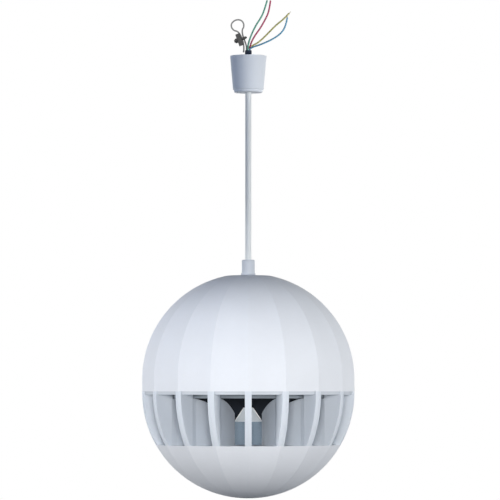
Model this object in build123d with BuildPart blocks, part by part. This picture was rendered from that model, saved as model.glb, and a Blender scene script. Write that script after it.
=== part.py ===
from build123d import *
import math
import os

# Ball pendant loudspeaker. Millimetres, Z up, origin at the centre of the canopy's rim.
# The ball is made of flat-sided gores, and a ridge between two gores faces the front, -Y.

# Clearances: between fixed pieces, and between pieces that move past each other
fit = 0.1
run = 0.35

# Canopy
canopy_height = 40.4
canopy_top_r = 21.7
canopy_foot_r = 18.2
canopy_wall = 2.0
plug_flange_height = 3.1
plug_flange_r = 16.9
plug_neck_r = 9.0
plug_neck_height = 12.0
grub_r = 1.5

# Cable, and the sleeve shrunk on its upper end
cable_r = 3.65
cable_free = 198.9
sleeve_wall = 0.4
sleeve_below = 12.0
sleeve_above = 7.0
sleeve_cap = 4.0

# Ball
gores = 18
frame_r = 102.5
ball_margin = 22.5
ball_r = frame_r + ball_margin
ball_wall = 3.0
pole_drop = 2.6
waist_height = 15.9
edge_drop = 14.6
slot_height = 63.1

# Gland
gland_r = 7.65
gland_height = 18.9
gland_foot_r = 8.5
gland_foot_height = 3.0
gland_stem_r = 6.0
gland_stem_length = 16.0
pole_seat_r = 20.0
pole_seat_depth = 5.0
locknut_height = 5.0
locknut_across = 17.0
ferrule_height = 8.0
ferrule_wall = 2.4

# Baffle, and the screws that hold ring, baffle and dome together
baffle_thickness = 6.0
baffle_margin = 4.0
screw_inset = 15.0
screw_circle_r = ball_r - screw_inset
screw_count = 6
screw_r = 1.9
screw_head_r = 3.8
screw_length = 24.0
boss_r = 4.6
boss_height = 20.0

# Louvre ring, fins and floor
ring_thickness = 3.8
ring_recess = 2.0
ring_gap = 1.6
fin_face_width = 7.8
fin_neck_width = 4.0
fin_inner_width = 2.6
fin_face_depth = 8.0
fin_inner_r = 50.0
fin_knee_depth = 25.9
fin_arch_r = 68.0
fin_arch_depth = 16.3
floor_thickness = 4.0

# Column and bell in the middle of the louvre
column_r = 15.0
column_bore_r = 2.7
cap_r = 13.3
cap_height = 2.8
bell_height = 20.4
bell_top_r = 5.4
bell_lip_r = 15.9
bell_lip_height = 0.9
bell_base_r = 12.1
bell_base_height = 3.8
bell_hollow = 0.3
column_height = 20.8

# Bridge across the driver's mouth
bridge_thickness = 3.0
bridge_foot_width = 12.0
bridge_flange_width = 9.0
bridge_flange_thickness = 2.0
bridge_end_depth = 3.0
bridge_middle_depth = 38.0
bridge_skirt_width = 6.0
bridge_hub_r = 7.0
tie_r = 2.4
tie_head_r = 4.4
tie_head_height = 3.0
tie_grip = 14.0
bowl_boss_r = 8.0

# Driver
flange_width = 6.5
flange_inner_r = frame_r - flange_width
sheet_thickness = 1.5
basket_height = 48.3
ledge_r = 50.0
ledge_inner_r = 36.0
ledge_drop = 8.0
seat_r = 30.0
gasket_width = 9.5
gasket_inner_r = frame_r - gasket_width
gasket_thickness = 5.9
surround_thickness = 0.6
surround_rise = 7.1
pleat_width = 9.5
cone_rim_r = gasket_inner_r - pleat_width
cone_lip = 4.5
cone_thickness = 0.7
cone_depth = 33.0
coil_r = 12.35
former_wall = 0.25
former_length = 25.0
winding_wall = 0.7
winding_height = 9.5
cap_edge_r = 22.0
dust_cap_depth = 8.0
spider_rise = 4.6
spider_outer_r = 45.0
top_plate_r = 40.0
top_plate_thickness = 5.0
magnet_r = 45.0
magnet_bore_r = 22.0
magnet_height = 15.0
yoke_thickness = 5.0
driver_screw_r = 2.0
driver_screw_head_r = 3.6
driver_screw_inset = 4.5
driver_screw_circle_r = frame_r - driver_screw_inset

# Line transformer and terminals
core_width = 42.0
core_height = 35.0
core_depth = 14.0
core_leg = 7.0
transformer_offset = 20.0
strap_thickness = 1.2
strap_foot = 9.0
block_width = 30.0
block_depth = 11.0
block_height = 13.0
block_offset = 22.0
lead_r = 0.9
strip_width = 24.0

# Conductors and steel rope at the ceiling end
wire_r = 1.0
rope_r = 0.95
clip_lean = 20.0
clip_x = -6.4
clip_z = 21.0
strand_offset = 1.1
saddle_length = 14.0
saddle_width = 11.0
saddle_thickness = 5.0
bow_r = 1.4
clip_nut_across = 5.0
clip_nut_height = 2.6

# Heights, worked out from the canopy's rim down
canopy_foot_z = -canopy_height
plug_bottom_z = canopy_foot_z - plug_flange_height
gland_top_z = plug_bottom_z - cable_free
pole_z = gland_top_z - gland_height
upper_centre_z = pole_z - (ball_r - pole_drop)
lower_centre_z = upper_centre_z - waist_height
edge_z = upper_centre_z - edge_drop
ring_bottom_z = edge_z - ring_thickness
floor_z = edge_z - slot_height
stem_end_z = pole_z - gland_stem_length
gasket_top_z = edge_z - sheet_thickness - surround_thickness
mouth_z = gasket_top_z - gasket_thickness

half_gore = 180.0 / gores
inner_r = ball_r - ball_wall
bowl_rim_inner_r = math.sqrt(inner_r**2 - (lower_centre_z - floor_z) ** 2)
ring_outer_r = ball_r - ring_recess
ring_inner_r = frame_r + ring_gap


def gored_ball(radius):
    """Intersect one slot-shaped bar for each pair of opposite gores."""
    with BuildPart() as ball:
        for i in range(gores // 2):
            turn = math.radians(2 * half_gore * i)
            facing = Plane(
                origin=(0, 0, (upper_centre_z + lower_centre_z) / 2),
                x_dir=(math.cos(turn), math.sin(turn), 0),
                z_dir=(math.sin(turn), -math.cos(turn), 0),
            )
            with BuildSketch(facing):
                SlotCenterToCenter(waist_height, 2 * radius, rotation=90)
            extrude(amount=1.1 * radius, both=True, mode=Mode.INTERSECT if i else Mode.ADD)
    return ball.part


outer_ball = gored_ball(ball_r)
inner_ball = gored_ball(inner_r)


def gore_polygon_r(across_flats_r):
    """Corner radius of the gore polygon with this radius across its flats."""
    return across_flats_r / math.cos(math.radians(half_gore))


# Canopy cup, open upwards, with a hole in its foot for the plug's neck
with BuildPart() as canopy_cup:
    with BuildSketch(Plane.XZ):
        with BuildLine():
            Polyline(
                (canopy_top_r, 0),
                (canopy_foot_r, canopy_foot_z),
                (plug_neck_r + fit, canopy_foot_z),
                (plug_neck_r + fit, canopy_foot_z + canopy_wall),
                (canopy_foot_r - canopy_wall, canopy_foot_z + canopy_wall),
                (canopy_top_r - canopy_wall, 0),
                close=True,
            )
        make_face()
    revolve(axis=Axis.Z)
    fillet(canopy_cup.edges().group_by(Axis.Z)[0].sort_by(SortBy.RADIUS)[-1], radius=0.4 * canopy_wall)

# Plug that carries the cup on the cable, with a tapped hole for the grub screw
grub_z = canopy_foot_z + 0.6 * plug_neck_height
with BuildPart() as canopy_plug:
    with BuildSketch(Plane.XY.offset(plug_bottom_z)):
        Circle(plug_flange_r)
        Circle(cable_r + run, mode=Mode.SUBTRACT)
    extrude(amount=plug_flange_height)
    with BuildSketch(Plane.XY.offset(canopy_foot_z)):
        Circle(plug_neck_r)
        Circle(cable_r + run, mode=Mode.SUBTRACT)
    extrude(amount=plug_neck_height)
    with BuildSketch(Plane((0, cable_r, grub_z), x_dir=(1, 0, 0), z_dir=(0, 1, 0))):
        Circle(grub_r)
    extrude(amount=plug_neck_r, mode=Mode.SUBTRACT)
    chamfer(canopy_plug.edges().group_by(Axis.Z)[0].sort_by(SortBy.RADIUS)[-1], length=0.25 * plug_flange_height)

# Grub screw that pinches the cable, with a hexagon socket in its outer end
with BuildPart() as canopy_screw:
    with BuildSketch(Plane((0, cable_r + run, grub_z), x_dir=(1, 0, 0), z_dir=(0, 1, 0))):
        Circle(grub_r - 0.05)
    extrude(amount=plug_neck_r - cable_r - run)
    with BuildSketch(Plane((0, plug_neck_r, grub_z), x_dir=(1, 0, 0), z_dir=(0, 1, 0))):
        RegularPolygon(0.55 * grub_r, 6)
    extrude(amount=-grub_r, mode=Mode.SUBTRACT)

# Cable jacket, from inside the sleeve down to the ferrule inside the dome
jacket_top_z = sleeve_above - sleeve_cap
jacket_end_z = stem_end_z - ferrule_height - 1.5
with BuildPart() as cable_jacket:
    with BuildSketch(Plane.XY.offset(jacket_end_z)):
        Circle(cable_r)
    extrude(amount=jacket_top_z - jacket_end_z)

# Sleeve over the jacket's upper end, closed round the conductors
with BuildPart() as end_sleeve:
    with BuildSketch(Plane.XY.offset(-sleeve_below)):
        Circle(cable_r + sleeve_wall)
    extrude(amount=sleeve_below + sleeve_above)
    with BuildSketch(Plane.XY.offset(-sleeve_below)):
        Circle(cable_r)
    extrude(amount=sleeve_below + jacket_top_z, mode=Mode.SUBTRACT)
    fillet(end_sleeve.edges().group_by(Axis.Z)[-1], radius=0.25 * cable_r)


def runs_radii(points):
    """Corner radii that use most of the shorter run on either side of each corner."""
    radii = []
    for before, corner, after in zip(points, points[1:], points[2:]):
        a = Vector(*corner) - Vector(*before)
        b = Vector(*after) - Vector(*corner)
        half_turn = math.radians(a.get_angle(b)) / 2
        radii.append(0.45 * min(a.length, b.length) / math.tan(half_turn))
    return radii


def routed_tube(points, radius):
    """Round tube along straight runs joined by tangent arcs."""
    with BuildPart() as tube:
        with BuildLine():
            route = FilletPolyline(*points, radius=runs_radii(points))
        with BuildSketch(Plane(route @ 0, z_dir=route % 0)):
            Circle(radius)
        sweep(path=route)
    return tube.part


# Coloured conductors, each standing on the top of the sleeve
green_route = [
    (-0.65, -2.0, sleeve_above),
    (-0.65, -2.0, 13.0),
    (3.4, -2.6, 25.0),
    (9.0, -3.0, 36.5),
    (14.0, -2.0, 44.0),
    (18.4, -0.5, 52.5),
    (22.4, 0.6, 66.5),
]
red_route = [
    (1.7, 1.23, sleeve_above),
    (1.7, 1.23, 12.0),
    (6.2, 1.6, 22.4),
    (14.6, 2.0, 34.0),
    (20.6, 2.6, 44.8),
    (24.8, 3.0, 54.0),
    (26.4, 3.2, 66.5),
]
yellow_route = [
    (-0.65, 2.0, sleeve_above),
    (-0.65, 2.0, 10.4),
    (4.6, 6.6, 13.0),
    (13.0, 7.0, 17.6),
    (22.8, 5.6, 27.0),
    (33.0, 4.2, 37.6),
    (41.6, 3.4, 44.0),
    (48.7, 3.8, 51.6),
]
blue_route = [
    (1.7, -1.23, sleeve_above),
    (1.7, -1.23, 9.6),
    (14.0, -4.6, 13.0),
    (27.6, -4.0, 19.0),
    (38.6, -2.2, 26.4),
    (44.6, -1.2, 35.6),
    (46.4, -2.0, 46.0),
]
wire_green = routed_tube(green_route, wire_r)
wire_red = routed_tube(red_route, wire_r)
wire_yellow = routed_tube(yellow_route, wire_r)
wire_blue = routed_tube(blue_route, wire_r)

# Steel rope: out of the sleeve, through the clip, round the eye and back through the clip
lean = math.radians(clip_lean)


def clip_point(across, along):
    """Place a point in the clip's own directions, across and along its two strands."""
    x = clip_x + across * math.cos(lean) - along * math.sin(lean)
    z = clip_z + across * math.sin(lean) + along * math.cos(lean)
    return (x, 0, z)


clip_half = 0.5 * saddle_length + 2.0
rope_route = [
    (-2.1, 0, sleeve_above),
    (-2.1, 0, sleeve_above + 3.0),
    clip_point(strand_offset, -clip_half),
    clip_point(strand_offset, clip_half),
    clip_point(6.9, clip_half + 4.4),
    clip_point(6.5, clip_half + 12.0),
    clip_point(-0.6, clip_half + 15.4),
    clip_point(-8.1, clip_half + 12.0),
    clip_point(-8.1, clip_half + 4.4),
    clip_point(-strand_offset, clip_half),
    clip_point(-strand_offset, -clip_half),
    (-5.8, 0, 4.5),
]
rope = routed_tube(rope_route, rope_r)

# Rope clip: a saddle behind the strands, a bow round them and two nuts
across_axis = Vector(math.cos(lean), 0, math.sin(lean))
along_axis = Vector(-math.sin(lean), 0, math.cos(lean))
bow_leg_y = rope_r + bow_r + 0.15
saddle_face = strand_offset + rope_r
bow_section = Plane(clip_point(0, 0), x_dir=tuple(across_axis), z_dir=tuple(along_axis))
with BuildPart() as clip_saddle:
    with BuildSketch(bow_section.offset(-0.5 * saddle_length)):
        with Locations((-saddle_face - 0.5 * saddle_thickness, 0)):
            RectangleRounded(saddle_thickness, saddle_width, 0.2 * saddle_thickness)
    extrude(amount=saddle_length)
    legs = Plane(clip_point(-saddle_face, 0), x_dir=(0, 1, 0), z_dir=tuple(-1 * across_axis))
    with BuildSketch(legs):
        with Locations((bow_leg_y, 0), (-bow_leg_y, 0)):
            Circle(bow_r + fit)
    extrude(amount=saddle_thickness, mode=Mode.SUBTRACT)

with BuildPart() as clip_bow:
    leg_end = -saddle_face - saddle_thickness - clip_nut_height - 1.2
    with BuildLine(bow_section):
        right = Line((leg_end, bow_leg_y), (strand_offset, bow_leg_y))
        turn_end = ThreePointArc(right @ 1, (strand_offset + bow_leg_y, 0), (strand_offset, -bow_leg_y))
        Line(turn_end @ 1, (leg_end, -bow_leg_y))
    with BuildSketch(Plane(right @ 0, z_dir=right % 0)):
        Circle(bow_r)
    sweep()

with BuildPart() as clip_nuts:
    nuts = Plane(clip_point(-saddle_face - saddle_thickness, 0), x_dir=(0, 1, 0), z_dir=tuple(-1 * across_axis))
    with BuildSketch(nuts):
        with Locations((bow_leg_y, 0), (-bow_leg_y, 0)):
            RegularPolygon(0.5 * min(clip_nut_across, 2 * bow_leg_y - fit), 6, major_radius=False)
            Circle(bow_r + 0.02, mode=Mode.SUBTRACT)
    extrude(amount=clip_nut_height)

# Cable gland: body above the dome, stem through it
with BuildPart() as cable_gland:
    with BuildSketch(Plane.XY.offset(pole_z)):
        Circle(gland_r)
    extrude(amount=gland_height)
    with BuildSketch(Plane.XY.offset(pole_z)):
        Circle(gland_foot_r)
    extrude(amount=gland_foot_height)
    with BuildSketch(Plane.XY.offset(pole_z)):
        Circle(gland_stem_r)
    extrude(amount=-gland_stem_length)
    with BuildSketch(Plane.XY.offset(stem_end_z)):
        Circle(cable_r + fit)
    extrude(amount=gland_stem_length + gland_height, mode=Mode.SUBTRACT)
    chamfer(cable_gland.edges().group_by(Axis.Z)[-1].sort_by(SortBy.RADIUS)[-1], length=0.12 * gland_r)

locknut_top_z = pole_z - pole_seat_depth
with BuildPart() as gland_locknut:
    with BuildSketch(Plane.XY.offset(locknut_top_z)):
        RegularPolygon(0.5 * max(locknut_across, 2 * gland_stem_r + 4.0), 6, major_radius=False)
        Circle(gland_stem_r + 0.05, mode=Mode.SUBTRACT)
    extrude(amount=-locknut_height)

# Crimped ferrule: the dome hangs from it by the end of the gland's stem
with BuildPart() as cable_ferrule:
    with BuildSketch(Plane.XY.offset(stem_end_z)):
        Circle(cable_r + ferrule_wall)
        Circle(cable_r + 0.02, mode=Mode.SUBTRACT)
    extrude(amount=-ferrule_height)
    chamfer(cable_ferrule.edges().group_by(Axis.Z)[0].sort_by(SortBy.RADIUS)[-1], length=0.3 * ferrule_wall)

# Dome: gored shell with a flat seat for the gland, and bosses for the screws
baffle_top_z = edge_z + baffle_thickness
with BuildPart() as upper_shell:
    add(outer_ball)
    add(inner_ball, mode=Mode.SUBTRACT)
    with BuildSketch(Plane.XY.offset(edge_z)):
        Rectangle(3 * ball_r, 3 * ball_r)
    extrude(amount=-2 * ball_r, mode=Mode.SUBTRACT)
    with BuildSketch(Plane.XY.offset(pole_z)):
        Rectangle(ball_r, ball_r)
    extrude(amount=ball_r, mode=Mode.SUBTRACT)
    with BuildSketch(Plane.XY.offset(pole_z)):
        Circle(pole_seat_r)
    extrude(amount=-pole_seat_depth)
    with BuildSketch(Plane.XY.offset(baffle_top_z)):
        with PolarLocations(screw_circle_r, screw_count):
            Circle(boss_r)
            with Locations((0.5 * (inner_r - screw_circle_r), 0)):
                Rectangle(inner_r - screw_circle_r + 1.0, 0.6 * boss_r)
    extrude(amount=boss_height)
    with BuildSketch(Plane.XY.offset(baffle_top_z)):
        with PolarLocations(screw_circle_r, screw_count):
            Circle(screw_r)
    extrude(amount=boss_height - 3.0, mode=Mode.SUBTRACT)
    with BuildSketch(Plane.XY.offset(pole_z)):
        Circle(gland_stem_r + fit)
    extrude(amount=-2 * pole_seat_depth, mode=Mode.SUBTRACT)

# Baffle board with the driver's hole
with BuildPart() as baffle:
    with BuildSketch(Plane.XY.offset(edge_z)):
        Circle(inner_r - baffle_margin)
        Circle(flange_inner_r + sheet_thickness, mode=Mode.SUBTRACT)
        with PolarLocations(screw_circle_r, screw_count):
            Circle(screw_r + fit, mode=Mode.SUBTRACT)
    extrude(amount=baffle_thickness)

# Countersunk screws up through ring and baffle into the dome's bosses
head_height = min(screw_head_r - screw_r, 0.7 * ring_thickness)
with BuildPart() as housing_screws:
    with BuildSketch(Plane.XY.offset(ring_bottom_z)):
        with PolarLocations(screw_circle_r, screw_count):
            Circle(screw_r)
    extrude(amount=min(screw_length, ring_thickness + baffle_thickness + boss_height - 4.0))
    with BuildSketch(Plane.XY.offset(ring_bottom_z)):
        with PolarLocations(screw_circle_r, screw_count):
            Circle(screw_r + head_height)
    extrude(amount=head_height, taper=45)
    with BuildSketch(Plane.XY.offset(ring_bottom_z)):
        with PolarLocations(screw_circle_r, screw_count):
            Rectangle(0.5 * screw_r, 1.6 * screw_r)
            Rectangle(1.6 * screw_r, 0.5 * screw_r)
    extrude(amount=0.5 * head_height, mode=Mode.SUBTRACT)

# Ring that the fins hang from
with BuildPart() as fin_ring:
    with BuildSketch(Plane.XY.offset(ring_bottom_z)):
        RegularPolygon(gore_polygon_r(ring_outer_r), gores, rotation=90 - half_gore * gores)
        Circle(ring_inner_r, mode=Mode.SUBTRACT)
    extrude(amount=ring_thickness)
    with BuildSketch(Plane.XY.offset(ring_bottom_z)):
        with PolarLocations(screw_circle_r, screw_count):
            Circle(screw_r + fit)
    extrude(amount=ring_thickness, mode=Mode.SUBTRACT)
    with BuildSketch(Plane.XY.offset(ring_bottom_z)):
        with PolarLocations(screw_circle_r, screw_count):
            Circle(screw_r + head_height + fit)
    extrude(amount=head_height + fit, taper=45, mode=Mode.SUBTRACT)

# One fin at the front: wide face on the ball's ridge, thin web inwards, arched upper edge
with BuildPart() as front_fin:
    with BuildSketch(Plane.XY.offset(floor_z)):
        with BuildLine():
            Polyline(
                (-0.5 * fin_inner_width, -fin_inner_r),
                (-0.5 * fin_neck_width, -(bowl_rim_inner_r - fin_face_depth)),
                (-0.5 * fin_face_width, -bowl_rim_inner_r),
                (-0.5 * fin_face_width, -1.1 * ball_r),
                (0.5 * fin_face_width, -1.1 * ball_r),
                (0.5 * fin_face_width, -bowl_rim_inner_r),
                (0.5 * fin_neck_width, -(bowl_rim_inner_r - fin_face_depth)),
                (0.5 * fin_inner_width, -fin_inner_r),
                close=True,
            )
        make_face()
    extrude(amount=slot_height)
    add(outer_ball, mode=Mode.INTERSECT)
    with BuildSketch(Plane.XZ):
        with BuildLine():
            arch_top = (frame_r - 1.5, mouth_z - run)
            arch_middle = (fin_arch_r, edge_z - fin_arch_depth)
            arch_foot = (fin_inner_r, edge_z - fin_knee_depth)
            Polyline(
                (0, floor_z),
                (fin_inner_r, floor_z),
                arch_foot,
            )
            ThreePointArc(arch_foot, arch_middle, arch_top)
            Polyline(
                arch_top,
                (ring_inner_r, mouth_z - run),
                (ring_inner_r, edge_z + 1.0),
                (0, edge_z + 1.0),
                (0, floor_z),
            )
        make_face()
    revolve(axis=Axis.Z, mode=Mode.SUBTRACT)
    with BuildSketch(Plane.XY.offset(ring_bottom_z)):
        RegularPolygon(gore_polygon_r(ring_outer_r + fit), gores, rotation=90 - half_gore * gores)
    extrude(amount=ring_thickness + 1.0, mode=Mode.SUBTRACT)

with BuildPart() as louvre_fins:
    with PolarLocations(0, gores):
        add(front_fin.part)

# Floor of the louvre, flush with the bowl's rim and wedged in its taper
floor_low_r = math.sqrt(inner_r**2 - (lower_centre_z - floor_z + floor_thickness) ** 2)
floor_taper = math.degrees(math.atan2(bowl_rim_inner_r - floor_low_r, floor_thickness))
with BuildPart() as louvre_floor:
    with BuildSketch(Plane.XY.offset(floor_z)):
        Circle(bowl_rim_inner_r - 2 * fit)
    extrude(amount=-floor_thickness, taper=floor_taper)
    with BuildSketch(Plane.XY.offset(floor_z)):
        Circle(column_bore_r)
    extrude(amount=-floor_thickness, mode=Mode.SUBTRACT)

# Bowl: gored shell with a middle boss that takes the tie bolt
bowl_boss_top_z = floor_z - floor_thickness
bowl_inside_z = lower_centre_z - inner_r
with BuildPart() as lower_bowl:
    add(outer_ball)
    add(inner_ball, mode=Mode.SUBTRACT)
    with BuildSketch(Plane.XY.offset(floor_z)):
        Rectangle(3 * ball_r, 3 * ball_r)
    extrude(amount=3 * ball_r, mode=Mode.SUBTRACT)
    with BuildSketch(Plane.XY.offset(bowl_inside_z - 0.5 * ball_wall)):
        Circle(bowl_boss_r)
    extrude(amount=bowl_boss_top_z - bowl_inside_z + 0.5 * ball_wall)
    with BuildSketch(Plane.XY.offset(bowl_inside_z - 0.5 * ball_wall)):
        with PolarLocations(2.2 * bowl_boss_r, 4):
            Rectangle(2.8 * bowl_boss_r, 2.2)
    extrude(amount=0.6 * (bowl_boss_top_z - bowl_inside_z))
    with BuildSketch(Plane.XY.offset(bowl_boss_top_z)):
        Circle(tie_r)
    extrude(amount=-tie_grip - 2.0, mode=Mode.SUBTRACT)

# Column, its cap and the bell that spreads the sound
column_top_z = floor_z + column_height
with BuildPart() as column:
    with BuildSketch(Plane.XY.offset(floor_z)):
        Circle(column_r)
        Circle(column_bore_r, mode=Mode.SUBTRACT)
    extrude(amount=column_height)
    fillet(column.edges().group_by(Axis.Z)[-1].sort_by(SortBy.RADIUS)[-1], radius=0.1 * column_r)

with BuildPart() as column_cap:
    with BuildSketch(Plane.XY.offset(column_top_z)):
        Circle(cap_r)
        Circle(column_bore_r, mode=Mode.SUBTRACT)
    extrude(amount=cap_height)

bell_bottom_z = column_top_z + cap_height
bell_lip_z = bell_bottom_z + bell_base_height
bell_top_z = bell_bottom_z + bell_height
with BuildPart() as bell:
    with BuildSketch(Plane.XZ):
        with BuildLine():
            foot = (bell_lip_r, bell_lip_z + bell_lip_height)
            crown = (bell_top_r, bell_top_z)
            waist = (
                0.5 * (foot[0] + crown[0]) - bell_hollow,
                0.5 * (foot[1] + crown[1]) - bell_hollow,
            )
            Polyline(
                crown,
                (column_bore_r, bell_top_z),
                (column_bore_r, bell_bottom_z),
                (bell_base_r, bell_bottom_z),
                (bell_base_r, bell_lip_z),
                (bell_lip_r, bell_lip_z),
                foot,
            )
            ThreePointArc(foot, waist, crown)
        make_face()
    revolve(axis=Axis.Z)

# Bridge: a web across the driver's mouth under a flange, notched round the bell
bridge_hub_z = bell_top_z
with BuildPart() as bridge:
    with BuildSketch(Plane.XZ.offset(-0.5 * bridge_thickness)):
        with BuildLine():
            Polyline(
                (-frame_r, mouth_z),
                (-frame_r, mouth_z - bridge_end_depth),
                (-bell_lip_r - bridge_skirt_width, mouth_z - bridge_middle_depth),
                (bell_lip_r + bridge_skirt_width, mouth_z - bridge_middle_depth),
                (frame_r, mouth_z - bridge_end_depth),
                (frame_r, mouth_z),
                close=True,
            )
        make_face()
    extrude(amount=bridge_thickness)
    with BuildSketch(Plane.XY.offset(mouth_z)):
        SlotOverall(2 * frame_r, bridge_flange_width)
        with Locations((0.5 * (frame_r + gasket_inner_r), 0), (-0.5 * (frame_r + gasket_inner_r), 0)):
            Rectangle(frame_r - gasket_inner_r, bridge_foot_width)
    extrude(amount=-bridge_flange_thickness)
    with BuildSketch(Plane.XY.offset(mouth_z)):
        Circle(bridge_hub_r)
    extrude(amount=-(mouth_z - bridge_hub_z))
    with BuildSketch(Plane.XZ):
        with BuildLine():
            Polyline(
                (0, bell_top_z),
                (bell_top_r + run, bell_top_z),
                (bell_lip_r + run, bell_lip_z + bell_lip_height),
                (bell_lip_r + run, bell_lip_z - bell_height),
                (0, bell_lip_z - bell_height),
                close=True,
            )
        make_face()
    revolve(axis=Axis.Z, mode=Mode.SUBTRACT)
    with BuildSketch(Plane.XY.offset(mouth_z)):
        Circle(column_bore_r)
        with Locations((driver_screw_circle_r, 0), (-driver_screw_circle_r, 0)):
            Circle(driver_screw_r + fit)
    extrude(amount=-bridge_middle_depth, mode=Mode.SUBTRACT)
    add(outer_ball, mode=Mode.INTERSECT)

# Screws that hold the bridge's feet to the driver's frame
with BuildPart() as bridge_screws:
    foot_z = mouth_z - bridge_end_depth
    with BuildSketch(Plane.XY.offset(foot_z)):
        with Locations((driver_screw_circle_r, 0), (-driver_screw_circle_r, 0)):
            Circle(driver_screw_r)
    extrude(amount=bridge_end_depth + gasket_thickness + sheet_thickness)

# Tie bolt down through bridge, bell, column and floor into the bowl's boss
tie_end_z = bowl_boss_top_z - tie_grip
with BuildPart() as tie_bolt:
    with BuildSketch(Plane.XY.offset(mouth_z)):
        Circle(tie_r)
    extrude(amount=-(mouth_z - tie_end_z))
    with BuildSketch(Plane.XY.offset(mouth_z)):
        Circle(tie_head_r)
    extrude(amount=tie_head_height)
    fillet(tie_bolt.edges().group_by(Axis.Z)[-1], radius=0.3 * tie_head_height)
    with BuildSketch(Plane.XY.offset(mouth_z + tie_head_height)):
        RegularPolygon(0.5 * tie_head_r, 6)
    extrude(amount=-0.6 * tie_head_height, mode=Mode.SUBTRACT)


def pressed_profile(points, thickness):
    """Closed outline of a thin sheet: the given under side and the same line raised."""
    raised = [(r, z + thickness) for r, z in reversed(points)]
    return Polyline(*points, *raised, close=True)


# Driver's basket: flange, windowed wall, ledge for the spider and seat for the magnet
flange_z = edge_z - sheet_thickness
seat_z = flange_z + basket_height
ledge_z = seat_z - ledge_drop
window_low_z = flange_z + 0.18 * (ledge_z - flange_z)
window_high_z = flange_z + 0.82 * (ledge_z - flange_z)
with BuildPart() as driver_frame:
    with BuildSketch(Plane.XZ):
        with BuildLine():
            pressed_profile(
                [
                    (frame_r, flange_z),
                    (flange_inner_r, flange_z),
                    (ledge_r, ledge_z),
                    (ledge_inner_r, ledge_z),
                    (seat_r, seat_z),
                    (coil_r + 2.0, seat_z),
                ],
                sheet_thickness,
            )
        make_face()
    revolve(axis=Axis.Z)
    with BuildSketch(Plane.XY.offset(window_low_z)):
        with PolarLocations(0.5 * (ledge_r + flange_inner_r), 6, start_angle=30):
            Rectangle(flange_inner_r - ledge_r + 8.0, 0.5 * ledge_r + 10.0)
    extrude(amount=window_high_z - window_low_z, mode=Mode.SUBTRACT)
    with BuildSketch(Plane.XY.offset(flange_z)):
        with PolarLocations(driver_screw_circle_r, 4, start_angle=45):
            Circle(driver_screw_r + fit)
        with PolarLocations(driver_screw_circle_r, 2):
            Circle(driver_screw_r + fit)
    extrude(amount=sheet_thickness, mode=Mode.SUBTRACT)

# Gasket ring on the front of the flange
with BuildPart() as driver_gasket:
    with BuildSketch(Plane.XY.offset(mouth_z)):
        Circle(frame_r)
        Circle(gasket_inner_r, mode=Mode.SUBTRACT)
        with PolarLocations(driver_screw_circle_r, 4, start_angle=45):
            Circle(driver_screw_r + fit, mode=Mode.SUBTRACT)
        with PolarLocations(driver_screw_circle_r, 2):
            Circle(driver_screw_r + fit, mode=Mode.SUBTRACT)
    extrude(amount=gasket_thickness)

# Pleated surround from under the flange to the back of the cone's lip
with BuildPart() as surround:
    with BuildSketch(Plane.XZ):
        with BuildLine():
            pressed_profile(
                [
                    (driver_screw_circle_r - driver_screw_r - 0.5, gasket_top_z),
                    (gasket_inner_r, gasket_top_z),
                    (gasket_inner_r - 0.2 * pleat_width, gasket_top_z + 0.42 * surround_rise),
                    (gasket_inner_r - 0.4 * pleat_width, gasket_top_z + 0.25 * surround_rise),
                    (gasket_inner_r - 0.6 * pleat_width, gasket_top_z + 0.73 * surround_rise),
                    (gasket_inner_r - 0.8 * pleat_width, gasket_top_z + 0.59 * surround_rise),
                    (cone_rim_r, gasket_top_z + surround_rise),
                    (cone_rim_r - cone_lip, gasket_top_z + surround_rise),
                ],
                surround_thickness,
            )
        make_face()
    revolve(axis=Axis.Z)

# Paper cone with a flat lip, and its neck on the coil's former
lip_z = gasket_top_z + surround_rise - cone_thickness
neck_z = lip_z + cone_depth
former_r = coil_r + former_wall
with BuildPart() as cone:
    with BuildSketch(Plane.XZ):
        with BuildLine():
            pressed_profile(
                [
                    (cone_rim_r, lip_z),
                    (cone_rim_r - cone_lip, lip_z),
                    (former_r, neck_z),
                ],
                cone_thickness,
            )
        make_face()
    revolve(axis=Axis.Z)

# Dust cap on the front of the cone: a slice of a thin ball
cone_slope = cone_depth / (cone_rim_r - cone_lip - former_r)
cap_edge_z = neck_z - (cap_edge_r - former_r) * cone_slope
cap_ball_r = (cap_edge_r**2 + dust_cap_depth**2) / (2 * dust_cap_depth)
with BuildPart() as dust_cap:
    with Locations((0, 0, cap_edge_z - dust_cap_depth + cap_ball_r)):
        Sphere(cap_ball_r)
        Sphere(cap_ball_r - cone_thickness, mode=Mode.SUBTRACT)
    split(bisect_by=Plane.XY.offset(cap_edge_z - 0.05), keep=Keep.BOTTOM)

# Voice coil: former and winding
plate_z = seat_z + sheet_thickness
former_low_z = neck_z - 2.0
with BuildPart() as coil_former:
    with BuildSketch(Plane.XY.offset(former_low_z)):
        Circle(former_r)
        Circle(coil_r, mode=Mode.SUBTRACT)
    extrude(amount=former_length)

winding_z = plate_z + 0.5 * top_plate_thickness - 0.5 * winding_height
with BuildPart() as coil_winding:
    with BuildSketch(Plane.XY.offset(winding_z)):
        Circle(former_r + winding_wall)
        Circle(former_r, mode=Mode.SUBTRACT)
    extrude(amount=winding_height)

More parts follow.
